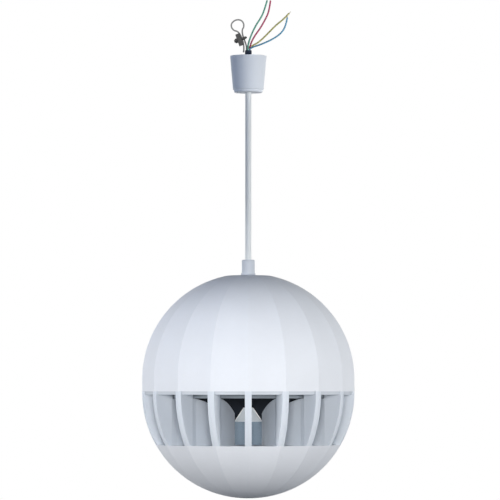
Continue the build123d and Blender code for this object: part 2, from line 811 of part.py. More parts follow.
# Corrugated spider from under the ledge to the former
spider_z = ledge_z - surround_thickness
spider_width = ledge_inner_r - former_r
with BuildPart() as spider:
    with BuildSketch(Plane.XZ):
        with BuildLine():
            pressed_profile(
                [
                    (min(spider_outer_r, ledge_r - 1.0), spider_z),
                    (ledge_inner_r, spider_z),
                    (ledge_inner_r - 0.13 * spider_width, spider_z + 0.34 * spider_rise),
                    (ledge_inner_r - 0.26 * spider_width, spider_z + 0.17 * spider_rise),
                    (ledge_inner_r - 0.39 * spider_width, spider_z + 0.56 * spider_rise),
                    (ledge_inner_r - 0.52 * spider_width, spider_z + 0.39 * spider_rise),
                    (ledge_inner_r - 0.65 * spider_width, spider_z + 0.78 * spider_rise),
                    (ledge_inner_r - 0.78 * spider_width, spider_z + 0.61 * spider_rise),
                    (former_r, spider_z + spider_rise),
                ],
                surround_thickness,
            )
        make_face()
    revolve(axis=Axis.Z)

# Magnet system behind the basket
gap_r = former_r + winding_wall + 0.4
with BuildPart() as top_plate:
    with BuildSketch(Plane.XY.offset(plate_z)):
        Circle(top_plate_r)
        Circle(gap_r, mode=Mode.SUBTRACT)
    extrude(amount=top_plate_thickness)

magnet_z = plate_z + top_plate_thickness
with BuildPart() as magnet:
    with BuildSketch(Plane.XY.offset(magnet_z)):
        Circle(magnet_r)
        Circle(magnet_bore_r, mode=Mode.SUBTRACT)
    extrude(amount=magnet_height)
    chamfer(magnet.edges().group_by(Axis.Z)[-1].sort_by(SortBy.RADIUS)[-1], length=0.08 * magnet_height)

yoke_z = magnet_z + magnet_height
with BuildPart() as yoke:
    with BuildSketch(Plane.XY.offset(yoke_z)):
        Circle(top_plate_r)
    extrude(amount=yoke_thickness)
    with BuildSketch(Plane.XY.offset(yoke_z)):
        Circle(coil_r - run)
    extrude(amount=-(magnet_height + top_plate_thickness))

# Screws through the gasket and flange into the baffle
with BuildPart() as driver_screws:
    with BuildSketch(Plane.XY.offset(mouth_z)):
        with PolarLocations(driver_screw_circle_r, 4, start_angle=45):
            Circle(driver_screw_r)
    extrude(amount=gasket_thickness + surround_thickness + sheet_thickness)
    with BuildSketch(Plane.XY.offset(mouth_z)):
        with PolarLocations(driver_screw_circle_r, 4, start_angle=45):
            Circle(driver_screw_head_r)
    extrude(amount=-0.6 * driver_screw_head_r)
    fillet(driver_screws.edges().group_by(Axis.Z)[0], radius=0.25 * driver_screw_head_r)

# Line transformer on the yoke
yoke_top_z = yoke_z + yoke_thickness
core_z = yoke_top_z + strap_thickness
window_height = core_height - 2 * core_leg
window_width = 0.5 * (core_width - 4 * core_leg)
with BuildPart() as transformer_core:
    with BuildSketch(Plane.XZ.offset(-transformer_offset - 0.5 * core_depth)):
        with Locations((0, core_z + 0.5 * core_height)):
            Rectangle(core_width, core_height)
            with Locations((core_leg + 0.5 * window_width, 0), (-core_leg - 0.5 * window_width, 0)):
                Rectangle(window_width, window_height, mode=Mode.SUBTRACT)
    extrude(amount=core_depth)

with BuildPart() as transformer_coil:
    with BuildSketch(Plane.XY.offset(core_z + core_leg + 0.3)):
        with Locations((0, transformer_offset)):
            RectangleRounded(2 * (core_leg + window_width) - 0.6, core_depth + 2 * window_width - 0.6, 2.0)
            Rectangle(2 * core_leg + 0.4, core_depth + 0.4, mode=Mode.SUBTRACT)
    extrude(amount=window_height - 0.6)

with BuildPart() as transformer_strap:
    with BuildSketch(Plane.XZ.offset(-transformer_offset - 0.4 * core_depth)):
        half_width = 0.5 * core_width + 0.1
        with BuildLine():
            Polyline(
                (-half_width - strap_foot, yoke_top_z),
                (half_width + strap_foot, yoke_top_z),
                (half_width + strap_foot, core_z),
                (half_width + strap_thickness, core_z),
                (half_width + strap_thickness, core_z + core_height + strap_thickness),
                (-half_width - strap_thickness, core_z + core_height + strap_thickness),
                (-half_width - strap_thickness, core_z),
                (-half_width - strap_foot, core_z),
                close=True,
            )
        make_face()
        with Locations((0, core_z + 0.5 * core_height)):
            Rectangle(2 * half_width, core_height, mode=Mode.SUBTRACT)
    extrude(amount=0.8 * core_depth)

strap_screw_x = half_width + 0.55 * strap_foot
with BuildPart() as strap_screws:
    with BuildSketch(Plane.XY.offset(core_z)):
        with Locations((strap_screw_x, transformer_offset), (-strap_screw_x, transformer_offset)):
            Circle(0.28 * strap_foot)
    extrude(amount=0.22 * strap_foot)
    fillet(strap_screws.edges().group_by(Axis.Z)[-1], radius=0.08 * strap_foot)

# Terminal block beside the transformer, with one well for each conductor
lead_pitch = block_width / 4
with BuildPart() as terminal_block:
    with BuildSketch(Plane.XY.offset(yoke_top_z)):
        with Locations((0, -block_offset)):
            Rectangle(block_width, block_depth)
    extrude(amount=block_height)
    with BuildSketch(Plane.XY.offset(yoke_top_z + block_height)):
        with Locations((0, -block_offset)):
            with GridLocations(lead_pitch, 1, 4, 1):
                Circle(2 * lead_r)
    extrude(amount=-0.5 * block_height, mode=Mode.SUBTRACT)

# Leads from the cable's end to the block
with BuildPart() as inner_leads:
    for i in range(4):
        side = i - 1.5
        start = (2.3 * side * lead_r, -1.0, jacket_end_z)
        end = (lead_pitch * side, -block_offset, yoke_top_z + 0.5 * block_height)
        drop = start[2] - end[2]
        lead_route = [
            start,
            (start[0], start[1], start[2] - 0.3 * drop),
            (end[0], end[1], end[2] + 0.4 * drop),
            end,
        ]
        add(routed_tube(lead_route, lead_r))

# Terminal strip on the back of the basket's wall
with BuildPart() as terminal_strip:
    with BuildSketch(Plane.XY.offset(ledge_z + sheet_thickness)):
        with Locations((0, 0.5 * (ledge_r + ledge_inner_r) + 1.0)):
            Rectangle(strip_width, 0.8 * (ledge_r - ledge_inner_r))
    extrude(amount=2.0)

pieces = {
    "canopy_cup": canopy_cup.part,
    "canopy_plug": canopy_plug.part,
    "canopy_screw": canopy_screw.part,
    "cable_jacket": cable_jacket.part,
    "end_sleeve": end_sleeve.part,
    "wire_green": wire_green,
    "wire_red": wire_red,
    "wire_yellow": wire_yellow,
    "wire_blue": wire_blue,
    "rope": rope,
    "clip_saddle": clip_saddle.part,
    "clip_bow": clip_bow.part,
    "clip_nuts": clip_nuts.part,
    "cable_gland": cable_gland.part,
    "gland_locknut": gland_locknut.part,
    "cable_ferrule": cable_ferrule.part,
    "upper_shell": upper_shell.part,
    "baffle": baffle.part,
    "housing_screws": housing_screws.part,
    "fin_ring": fin_ring.part,
    "louvre_fins": louvre_fins.part,
    "louvre_floor": louvre_floor.part,
    "lower_bowl": lower_bowl.part,
    "column": column.part,
    "column_cap": column_cap.part,
    "bell": bell.part,
    "bridge": bridge.part,
    "bridge_screws": bridge_screws.part,
    "tie_bolt": tie_bolt.part,
    "driver_frame": driver_frame.part,
    "driver_gasket": driver_gasket.part,
    "surround": surround.part,
    "cone": cone.part,
    "dust_cap": dust_cap.part,
    "coil_former": coil_former.part,
    "coil_winding": coil_winding.part,
    "spider": spider.part,
    "top_plate": top_plate.part,
    "magnet": magnet.part,
    "yoke": yoke.part,
    "driver_screws": driver_screws.part,
    "transformer_core": transformer_core.part,
    "transformer_coil": transformer_coil.part,
    "transformer_strap": transformer_strap.part,
    "strap_screws": strap_screws.part,
    "terminal_block": terminal_block.part,
    "inner_leads": inner_leads.part,
    "terminal_strip": terminal_strip.part,
}

os.makedirs("parts", exist_ok=True)
for name, piece in pieces.items():
    piece.label = name
    export_step(piece, f"parts/{name}.step")
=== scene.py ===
import math

import bmesh
import bpy
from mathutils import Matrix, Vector


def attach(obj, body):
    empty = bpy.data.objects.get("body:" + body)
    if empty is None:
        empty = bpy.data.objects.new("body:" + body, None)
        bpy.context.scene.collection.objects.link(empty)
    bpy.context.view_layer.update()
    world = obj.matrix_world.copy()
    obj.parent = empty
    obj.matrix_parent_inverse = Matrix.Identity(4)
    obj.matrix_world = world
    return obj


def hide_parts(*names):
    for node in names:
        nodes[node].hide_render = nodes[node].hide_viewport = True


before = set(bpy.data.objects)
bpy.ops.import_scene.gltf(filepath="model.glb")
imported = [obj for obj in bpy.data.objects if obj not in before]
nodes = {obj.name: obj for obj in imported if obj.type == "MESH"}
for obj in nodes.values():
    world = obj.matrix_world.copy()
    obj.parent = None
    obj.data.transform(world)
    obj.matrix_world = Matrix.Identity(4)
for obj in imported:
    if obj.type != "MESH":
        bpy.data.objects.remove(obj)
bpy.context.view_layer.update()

MM = 0.001

# Camera: level with the slots' upper edge, and tilted up to the picture's middle
PHOTO_PIXELS = 500
PIXEL_SIZE = 1.185 * MM
CAMERA_DISTANCE = 4.0
CAMERA_HEIGHT = -0.398
CAMERA_X = 0.0020
CAMERA_TILT = 2.395
SENSOR = 36.0
CLIP_NEAR = 0.05
CLIP_FAR = 200.0

# Cords: the same points as in the part's source, in millimetres
WIRE_R = 1.0
ROPE_R = 0.95
SLEEVE_TOP = 7.0
CLIP_LEAN = math.radians(20.0)
CLIP_X = -6.4
CLIP_Z = 21.0
CLIP_HALF = 9.0
STRAND_OFFSET = 1.1
ROPE_STRANDS = 6
ROPE_PITCH = 11.0
TIP_LENGTH = 3.0
TIP_BURIED = 0.5
TIP_STRANDS = 6
TIP_PITCH = 5.0

# Column sleeve: a dark sleeve that closes the gap between the middle column and the fins behind it,
# as painted shade there
SLEEVE_R = 17.4
SLEEVE_BORE = 15.1
SLEEVE_FOOT = -461.35
SLEEVE_HEAD = -434.1
SLEEVE_ROUND = 0.8

# Bowl: where its four inner ribs' lower faces lie, and how far out those reach
BALL_CENTRE = Vector((0, 0, -0.3996))
RIB_FOOT_Z = -523.1
RIB_FOOT_SLACK = 0.02
RIB_END_R = 28.0
RIB_CLEAR = 0.5
PLAN_DECIMALS = 5


def link(obj):
    bpy.context.scene.collection.objects.link(obj)
    return obj


# Materials


class Shader:
    """A Principled material with helpers for the procedural nodes that feed it."""

    def __init__(self, name, colour, roughness, metallic=0.0, specular=0.4):
        self.material = bpy.data.materials.new(name)
        self.material.use_nodes = True
        self.tree = self.material.node_tree
        self.base = self.tree.nodes["Principled BSDF"]
        self.base.inputs["Metallic"].default_value = metallic
        self.base.inputs["Specular IOR Level"].default_value = specular
        self.base.inputs["Base Color"].default_value = (*colour, 1)
        self.base.inputs["Roughness"].default_value = roughness
        self.colour = colour
        self.roughness = roughness
        self.place = self.add("ShaderNodeTexCoord").outputs["Object"]

    def add(self, kind, **settings):
        node = self.tree.nodes.new(kind)
        for key, value in settings.items():
            setattr(node, key, value)
        return node

    def join(self, a, b):
        self.tree.links.new(a, b)

    def noise(self, size, detail=3.0, stretch=(1, 1, 1)):
        """Noise whose blobs are about that size, in metres."""
        mapping = self.add("ShaderNodeMapping")
        mapping.inputs["Scale"].default_value = stretch
        self.join(self.place, mapping.inputs["Vector"])
        node = self.add("ShaderNodeTexNoise")
        node.inputs["Scale"].default_value = 1.0 / size
        node.inputs["Detail"].default_value = detail
        self.join(mapping.outputs["Vector"], node.inputs["Vector"])
        return node.outputs["Fac"]

    def bands(self, pitch, direction="Z", kind="BANDS", distortion=0.0):
        """Straight or ring bands of that pitch, in metres."""
        node = self.add("ShaderNodeTexWave", wave_type=kind)
        if kind == "BANDS":
            node.bands_direction = direction
        else:
            node.rings_direction = direction
        node.inputs["Scale"].default_value = math.pi / (10 * pitch)
        node.inputs["Distortion"].default_value = distortion
        self.join(self.place, node.inputs["Vector"])
        return node.outputs["Fac"]

    def range(self, value, low, high, start=0.3, end=0.7):
        node = self.add("ShaderNodeMapRange")
        node.inputs["From Min"].default_value = start
        node.inputs["From Max"].default_value = end
        node.inputs["To Min"].default_value = low
        node.inputs["To Max"].default_value = high
        self.join(value, node.inputs["Value"])
        return node.outputs["Result"]

    def tint(self, value, other, amount):
        """Mix the colour towards another one where the value is high."""
        mix = self.add("ShaderNodeMix", data_type="RGBA")
        mix.inputs["A"].default_value = (*self.colour, 1)
        mix.inputs["B"].default_value = (*other, 1)
        socket = self.base.inputs["Base Color"]
        if socket.is_linked:
            self.join(socket.links[0].from_socket, mix.inputs["A"])
        self.join(self.range(value, 0.0, amount), mix.inputs["Factor"])
        self.join(mix.outputs["Result"], socket)

    def rough(self, value, spread):
        low, high = self.roughness - spread, self.roughness + spread
        self.join(self.range(value, low, high), self.base.inputs["Roughness"])

    def bump(self, value, depth, strength=1.0):
        """Raise the surface by the value, with a depth in metres."""
        node = self.add("ShaderNodeBump")
        node.inputs["Distance"].default_value = depth
        node.inputs["Strength"].default_value = strength
        self.join(value, node.inputs["Height"])
        socket = self.base.inputs["Normal"]
        if socket.is_linked:
            self.join(socket.links[0].from_socket, node.inputs["Normal"])
        self.join(node.outputs["Normal"], socket)


def plastic(name, colour, roughness=0.42, grain=0.0006, depth=0.00001, specular=0.015):
    """Moulded plastic: fine grain, slow waves from the mould, and a little handling dust."""
    s = Shader(name, colour, roughness, specular=specular)
    slow = s.noise(0.05, 2.0)
    fine = s.noise(grain, 2.0)
    s.tint(slow, [c * 0.93 for c in colour], 0.5)
    s.tint(s.noise(0.004, 6.0), [c * f for c, f in zip(colour, (0.90, 0.89, 0.86))], 0.12)
    s.rough(s.noise(0.012, 4.0), 0.05)
    s.bump(slow, 0.0002, 0.25)
    s.bump(fine, depth, 0.5)
    return s.material


def metal(name, colour, roughness=0.35, size=0.0015, stretch=(1, 1, 1), dull=0.3):
    """Plated or drawn metal: brushed or mottled, with duller patches."""
    s = Shader(name, colour, roughness, metallic=1.0, specular=0.5)
    mottle = s.noise(size, 5.0, stretch)
    s.tint(mottle, [c * 0.6 for c in colour], dull)
    s.rough(s.noise(size * 3, 4.0, stretch), 0.1)
    s.bump(mottle, 0.00002, 0.5)
    return s.material


def rubber(name, colour, roughness=0.7, size=0.0008, depth=0.00003):
    s = Shader(name, colour, roughness, specular=0.25)
    pores = s.noise(size, 4.0)
    s.tint(pores, [c * 1.5 + 0.01 for c in colour], 0.4)
    s.rough(s.noise(size * 6, 3.0), 0.08)
    s.bump(pores, depth, 0.7)
    return s.material


def fibre(name, colour, other, roughness=0.85, size=0.0012, rings=None, depth=0.00008):
    """Paper, cloth or board: short fibres, and rings where it is pressed in rings."""
    s = Shader(name, colour, roughness, specular=0.15)
    felt = s.noise(size, 8.0)
    s.tint(felt, other, 0.5)
    s.tint(s.noise(size * 12, 3.0), other, 0.3)
    s.rough(s.noise(size * 5), 0.06)
    s.bump(felt, depth, 0.6)
    if rings:
        s.bump(s.bands(rings, "Z", "RINGS"), depth * 3, 0.7)
    return s.material


def banded(name, colour, other, pitch, roughness, metallic=0.0, direction="Z"):
    """Windings, laminations and tape: fine even bands."""
    s = Shader(name, colour, roughness, metallic=metallic)
    lines = s.bands(pitch, direction, distortion=0.3)
    s.tint(lines, other, 0.6)
    s.rough(s.noise(0.003), 0.07)
    s.bump(lines, 0.00008, 0.8)
    return s.material


def sheath(name, colour, roughness=0.5):
    """A pressed plastic sheath: fine lengthwise draw lines and the cores' slow swell."""
    s = Shader(name, colour, roughness, specular=0.3)
    lines = s.noise(0.0005, 3.0, (1, 1, 0.04))
    swell = s.noise(0.012, 1.0, (1, 1, 0.5))
    s.tint(lines, [c * 0.88 for c in colour], 0.4)
    s.rough(s.noise(0.01), 0.06)
    s.bump(swell, 0.0003, 0.35)
    s.bump(lines, 0.00004, 0.5)
    return s.material


def dressed(material, *targets):
    """Give the CAD nodes that material."""
    for target in targets:
        data = nodes[target].data
        data.materials.clear()
        data.materials.append(material)


shell_white = plastic("shell_white", (0.87, 0.885, 0.915))
# Bell: the shell's white plastic painted brighter and bluer, as painted light on the bell inside
# the slots
bell_painted_light = plastic("bell_painted_light", (0.90, 0.96, 1.0), roughness=0.35)
gland_white = plastic("gland_white", (0.66, 0.69, 0.735), roughness=0.5)
louvre_white = plastic("louvre_white", (0.86, 0.88, 0.91), roughness=0.55)
# Fin ring: the fins' white plastic painted grey as shade for its recess under the dome
ring_painted_shade = plastic("ring_painted_shade", (0.65, 0.68, 0.72), roughness=0.55)
# Fins: the shell's white plastic, painted darker and bluer as shade for the inside of the slots
fin_painted_shade = plastic("fin_painted_shade", (0.76, 0.80, 0.85), roughness=0.55)
# Middle column: the fins' plastic painted dark blue-grey as shade deep inside the slots
column_painted_shade = plastic("column_painted_shade", (0.25, 0.31, 0.37), roughness=0.6)
# Column sleeve: dark blue-grey painted shade round the middle column
sleeve_painted_shade = rubber("sleeve_painted_shade", (0.27, 0.34, 0.41), roughness=0.7)
# Ceiling cup: white plastic, partly tinted blue as painted shade for the bluish shade on its left
# side
canopy_white = plastic("canopy_white", (0.875, 0.91, 0.955), roughness=0.40)
sheath_white = sheath("sheath_white", (0.86, 0.88, 0.87))
sleeve_dark = rubber("sleeve_dark", (0.012, 0.022, 0.045), roughness=0.45, size=0.0004)
steel = metal("zinc_steel", (0.40, 0.41, 0.43), roughness=0.45)
clip_zinc = metal("clip_zinc", (0.12, 0.12, 0.12), roughness=0.5, size=0.0009, dull=0.6)
rope_steel = metal("rope_steel", (0.36, 0.36, 0.36), roughness=0.4, size=0.0006)
plate = metal("zinc_plate", (0.62, 0.63, 0.60), roughness=0.3, size=0.004)
foil = metal("former_foil", (0.82, 0.82, 0.83), roughness=0.25, size=0.002)
board = fibre("board_black", (0.030, 0.032, 0.036), (0.055, 0.056, 0.06))
enamel = plastic(
    "basket_enamel", (0.024, 0.028, 0.036), roughness=0.55, grain=0.0009, depth=0.00003
)
gasket = rubber("gasket_grey", (0.28, 0.31, 0.34))
paper = fibre("paper_black", (0.020, 0.021, 0.024), (0.045, 0.045, 0.047), rings=0.006)
cloth = fibre("cloth_black", (0.022, 0.022, 0.025), (0.04, 0.04, 0.043), size=0.0005)
spider_cloth = fibre("spider_tan", (0.42, 0.25, 0.10), (0.55, 0.36, 0.17), size=0.0005)
copper = banded("copper_winding", (0.75, 0.30, 0.13), (0.35, 0.12, 0.05), 0.0004, 0.35, 1.0)
ferrite = rubber("ferrite", (0.035, 0.036, 0.040), roughness=0.6, size=0.0015, depth=0.00006)
lamination = banded("lamination", (0.075, 0.075, 0.08), (0.03, 0.03, 0.032), 0.0007, 0.5, 0.6, "Y")
tape = banded("coil_tape", (0.62, 0.46, 0.08), (0.45, 0.32, 0.05), 0.0045, 0.4)
nylon = plastic("nylon_white", (0.72, 0.72, 0.68), roughness=0.5)
phenolic = fibre("strip_brown", (0.14, 0.06, 0.025), (0.20, 0.09, 0.04), roughness=0.5)
lead_red = sheath("lead_red", (0.42, 0.07, 0.06))
tinned = metal("tinned_copper", (0.75, 0.70, 0.60), roughness=0.3, size=0.0003)
wire_paints = {
    "green": sheath("wire_green", (0.16, 0.46, 0.33)),
    "red": sheath("wire_red", (0.57, 0.10, 0.19)),
    "yellow": sheath("wire_yellow", (0.58, 0.54, 0.20)),
    "blue": sheath("wire_blue", (0.16, 0.40, 0.56)),
}

dressed(shell_white, "upper_shell", "lower_bowl")
dressed(bell_painted_light, "bell")
dressed(gland_white, "cable_gland", "gland_locknut")
dressed(ring_painted_shade, "fin_ring")
dressed(louvre_white, "louvre_floor")
dressed(fin_painted_shade, "louvre_fins")
dressed(column_painted_shade, "column", "column_cap")
dressed(canopy_white, "canopy_cup", "canopy_plug")
dressed(sheath_white, "cable_jacket")
dressed(sleeve_dark, "end_sleeve")
dressed(clip_zinc, "clip_saddle", "clip_bow", "clip_nuts")
dressed(steel, "canopy_screw", "housing_screws", "bridge_screws", "tie_bolt", "driver_screws")
dressed(plate, "cable_ferrule", "top_plate", "yoke", "transformer_strap", "strap_screws")
dressed(board, "baffle")
dressed(enamel, "driver_frame", "bridge")
dressed(gasket, "driver_gasket")
dressed(paper, "cone", "dust_cap")
dressed(cloth, "surround")
dressed(spider_cloth, "spider")
dressed(foil, "coil_former")
dressed(copper, "coil_winding")
dressed(ferrite, "magnet")
dressed(lamination, "transformer_core")
dressed(tape, "transformer_coil")
dressed(nylon, "terminal_block")
dressed(phenolic, "terminal_strip")
dressed(lead_red, "inner_leads")

# Cords


def spline_curve(name, points, radius):
    """A NURBS curve of order 3 with those control points, in millimetres."""
    data = bpy.data.curves.new(name, "CURVE")
    data.dimensions = "3D"
    spline = data.splines.new("NURBS")
    spline.points.add(len(points) - 1)
    for point, place in zip(spline.points, points):
        point.co = (*(MM * v for v in place), 1)
    spline.order_u = 3
    spline.use_endpoint_u = True
    spline.resolution_u = 24
    data.bevel_depth = MM * radius
    data.bevel_resolution = 6
    data.use_fill_caps = True
    return link(bpy.data.objects.new(name, data))


def centreline(points):
    """The line of the NURBS spline with those control points, as vectors in metres."""
    curve = spline_curve("centreline", points, 0.0)
    bpy.context.view_layer.update()
    graph = bpy.context.evaluated_depsgraph_get()
    mesh = bpy.data.meshes.new_from_object(curve.evaluated_get(graph))
    line = [v.co.copy() for v in mesh.vertices]
    bpy.data.meshes.remove(mesh)
    bpy.data.objects.remove(curve)
    return line


def resampled(line, step):
    """Points at even spacing along the line."""
    out, carried = [line[0].copy()], 0.0
    for a, b in zip(line, line[1:]):
        span = (b - a).length
        while carried + span >= step:
            a = a.lerp(b, (step - carried) / span)
            out.append(a.copy())
            span = (b - a).length
            carried = 0.0
        carried += span
    return out


def twisted_rope(name, line, radius, strands, pitch, sides=8):
    """A core and round strands that wind about the line, as one mesh."""
    strand_r = radius / 3.0
    made = bmesh.new()
    frames, up = [], None
    for i, place in enumerate(line):
        ahead = line[min(i + 1, len(line) - 1)]
        behind = line[max(i - 1, 0)]
        along = (ahead - behind).normalized()
        up = along.orthogonal() if up is None else up - along * up.dot(along)
        up.normalize()
        frames.append((place, along, up.copy(), along.cross(up)))
    gone = [0.0]
    for a, b in zip(line, line[1:]):
        gone.append(gone[-1] + (b - a).length)
    routes = [(0.0, 0.0)] + [(2 * strand_r, 2 * math.pi * k / strands) for k in range(strands)]
    for offset, phase in routes:
        rings = []
        for (place, along, up, side), distance in zip(frames, gone):
            turn = phase + 2 * math.pi * distance / pitch
            centre = place + offset * (math.cos(turn) * up + math.sin(turn) * side)
            ring = []
            for k in range(sides):
                angle = 2 * math.pi * k / sides
                out = math.cos(angle) * up + math.sin(angle) * side
                ring.append(made.verts.new(centre + strand_r * out))
            rings.append(ring)
        for a, b in zip(rings, rings[1:]):
            for k in range(sides):
                made.faces.new((a[k], a[(k + 1) % sides], b[(k + 1) % sides], b[k]))
        made.faces.new(list(reversed(rings[0])))
        made.faces.new(rings[-1])
    mesh = bpy.data.meshes.new(name)
    made.to_mesh(mesh)
    made.free()
    mesh.polygons.foreach_set("use_smooth", [True] * len(mesh.polygons))
    return link(bpy.data.objects.new(name, mesh))


# The conductors, from the sleeve to their bare ends
wire_routes = {
    "green": [
        (-0.65, -2.0, SLEEVE_TOP),
        (-0.65, -2.0, 13.0),
        (3.4, -2.6, 25.0),
        (9.0, -3.0, 36.5),
        (14.0, -2.0, 44.0),
        (18.4, -0.5, 52.5),
        (22.4, 0.6, 66.5),
    ],
    "red": [
        (1.7, 1.23, SLEEVE_TOP),
        (1.7, 1.23, 12.0),
        (6.2, 1.6, 22.4),
        (14.6, 2.0, 34.0),
        (20.6, 2.6, 44.8),
        (24.8, 3.0, 54.0),
        (26.4, 3.2, 66.5),
    ],
    "yellow": [
        (-0.65, 2.0, SLEEVE_TOP),
        (-0.65, 2.0, 10.4),
        (4.6, 6.6, 13.0),
        (13.0, 7.0, 17.6),
        (22.8, 5.6, 27.0),
        (33.0, 4.2, 37.6),
        (41.6, 3.4, 44.0),
        (48.7, 3.8, 51.6),
    ],
    "blue": [
        (1.7, -1.23, SLEEVE_TOP),
        (1.7, -1.23, 9.6),
        (14.0, -4.6, 13.0),
        (27.6, -4.0, 19.0),
        (38.6, -2.2, 26.4),
        (44.6, -1.2, 35.6),
        (46.4, -2.0, 46.0),
    ],
}


def conductor_tip(name, line):
    """The bare twisted end of the conductor, which stands out of the insulation."""
    end = line[-1]
    along = (line[-1] - line[-2]).normalized()
    steps = 16
    tip = [end + along * MM * (TIP_LENGTH * i / steps - TIP_BURIED) for i in range(steps + 1)]
    return twisted_rope(name, tip, MM * 0.5 * WIRE_R, TIP_STRANDS, MM * TIP_PITCH, sides=6)


for colour, route in wire_routes.items():
    wire = spline_curve(f"core_{colour}", route, WIRE_R)
    wire.data.materials.append(wire_paints[colour])
    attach(wire, "ball")
    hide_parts(f"wire_{colour}")
    tip = conductor_tip(f"tip_{colour}", centreline(route))
    tip.data.materials.append(tinned)
    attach(tip, "ball")


def clip_point(across, along):
    """Place a point in the clip's own directions, across and along its two strands."""
    x = CLIP_X + across * math.cos(CLIP_LEAN) - along * math.sin(CLIP_LEAN)
    z = CLIP_Z + across * math.sin(CLIP_LEAN) + along * math.cos(CLIP_LEAN)
    return (x, 0.0, z)


rope_route = [
    (-2.1, 0.0, SLEEVE_TOP),
    (-2.1, 0.0, SLEEVE_TOP + 3.0),
    clip_point(STRAND_OFFSET, -CLIP_HALF),
    clip_point(STRAND_OFFSET, CLIP_HALF),
    clip_point(6.9, CLIP_HALF + 4.4),
    clip_point(6.5, CLIP_HALF + 12.0),
    clip_point(-0.6, CLIP_HALF + 15.4),
    clip_point(-8.1, CLIP_HALF + 12.0),
    clip_point(-8.1, CLIP_HALF + 4.4),
    clip_point(-STRAND_OFFSET, CLIP_HALF),
    clip_point(-STRAND_OFFSET, -CLIP_HALF),
    (-5.8, 0.0, 4.5),
]
rope_line = resampled(centreline(rope_route), 0.6 * MM)
rope = twisted_rope("rope_strands", rope_line, MM * ROPE_R, ROPE_STRANDS, MM * ROPE_PITCH)
rope.data.materials.append(rope_steel)
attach(rope, "ball")
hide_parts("rope")

# Column sleeve: painted shade round the middle column


def turned(name, profile, sides=96):
    """A closed body of revolution about the cable's axis, from radii and heights in millimetres."""
    made = bmesh.new()
    rings = []
    for k in range(sides):
        turn = 2 * math.pi * k / sides
        across, along = MM * math.cos(turn), MM * math.sin(turn)
        rings.append([made.verts.new((across * r, along * r, MM * z)) for r, z in profile])
    for k in range(sides):
        ring, after = rings[k], rings[(k + 1) % sides]
        for i in range(len(profile)):
            j = (i + 1) % len(profile)
            made.faces.new((ring[i], after[i], after[j], ring[j]))
    bmesh.ops.recalc_face_normals(made, faces=made.faces)
    mesh = bpy.data.meshes.new(name)
    made.to_mesh(mesh)
    made.free()
    return link(bpy.data.objects.new(name, mesh))


rounded = [
    (SLEEVE_R - SLEEVE_ROUND * (1 - math.cos(a)), SLEEVE_HEAD - SLEEVE_ROUND * (1 - math.sin(a)))
    for a in (math.radians(18 * i) for i in range(6))
]
sleeve = turned(
    "column_shade_sleeve",
    [(SLEEVE_BORE, SLEEVE_FOOT), (SLEEVE_R, SLEEVE_FOOT), *rounded, (SLEEVE_BORE, SLEEVE_HEAD)],
)
sleeve.data.materials.append(sleeve_painted_shade)
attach(sleeve, "ball")

# Bowl


def on_rib_foot(place):
    return abs(place.z - MM * RIB_FOOT_Z) < MM * RIB_FOOT_SLACK


def at_rib_end(place):
    return on_rib_foot(place) and place.xy.length > MM * RIB_END_R


def plan_spot(place):
    """The place seen from above, rounded so that corners above one another agree."""
    return round(place.x, PLAN_DECIMALS), round(place.y, PLAN_DECIMALS)


def trimmed_bowl(name):
    """The bowl's own mesh, with the rib ends that stand out below drawn in to its outer face."""
    mesh = nodes["lower_bowl"].data.copy()
    outer_z = {}
    for vertex in mesh.vertices:
        if vertex.co.z > MM * (RIB_FOOT_Z + RIB_CLEAR):
            spot = plan_spot(vertex.co)
            outer_z[spot] = min(vertex.co.z, outer_z.get(spot, 0.0))
    normals = [normal.vector.copy() for normal in mesh.corner_normals]
    for face in mesh.polygons:
        corners = [mesh.vertices[i].co for i in face.vertices]
        if all(map(on_rib_foot, corners)) and any(map(at_rib_end, corners)):
            for loop, corner in zip(face.loop_indices, corners):
                normals[loop] = (corner - BALL_CENTRE).normalized()
    for vertex in mesh.vertices:
        if at_rib_end(vertex.co):
            vertex.co.z = outer_z[plan_spot(vertex.co)]
    mesh.normals_split_custom_set(normals)
    return link(bpy.data.objects.new(name, mesh))


bowl = trimmed_bowl("bowl_shell")
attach(bowl, "ball")
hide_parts("lower_bowl")

# Stage: floor, light and camera

FLOOR_Z = -3.0
FLOOR_HALF = 60.0
FLOOR_GLOW = 0.93
FLOOR_PAINT = (0.10, 0.13, 0.18, 1)

# The light is an even ring round the horizon, as from white studio walls
RING_CENTRE = 0.02
RING_HALF_WIDTH = 0.18
RING_STRENGTH = 2.1
AMBIENT_STRENGTH = 0.04
AMBIENT_HUE = (0.32, 0.66, 1.10, 1)
WHITE = (1, 1, 1, 1)

# A dark card beside the ceiling cup, out of the picture
CARD_CENTRE = (-0.272, -0.290, 0.0)
CARD_SIZE = (0.7, 0.49)
CARD_PAINT = (0.08, 0.16, 0.34, 1)

# Soft lamps in pairs, left and right of the camera's direction
LAMP_DISTANCE = 2.2
SIDE_HEIGHT = -0.39
FRONT_HEIGHT = -0.22
SIDE_SIZE = (0.9, 0.5)
FRONT_SIZE = (0.3, 0.5)
SIDE_AZIMUTH = 60
FRONT_AZIMUTH = 4
REAR_AZIMUTH = 145
SIDE_WATTS = 16.0
FRONT_WATTS = 11.0
REAR_WATTS = 20.0


def flat_card(name, size):
    """A rectangle in the horizontal plane, with its sides in metres."""
    w, h = 0.5 * size[0], 0.5 * size[1]
    mesh = bpy.data.meshes.new(name)
    corners = [(-w, -h, 0), (w, -h, 0), (w, h, 0), (-w, h, 0)]
    mesh.from_pydata(corners, [], [(0, 1, 2, 3)])
    return link(bpy.data.objects.new(name, mesh))


def painted(card, name, colour):
    """Give the stage card a plain material and return its node tree and shader."""
    paint = bpy.data.materials.new(name)
    paint.use_nodes = True
    base = paint.node_tree.nodes["Principled BSDF"]
    base.inputs["Base Color"].default_value = colour
    card.data.materials.append(paint)
    return paint.node_tree, base


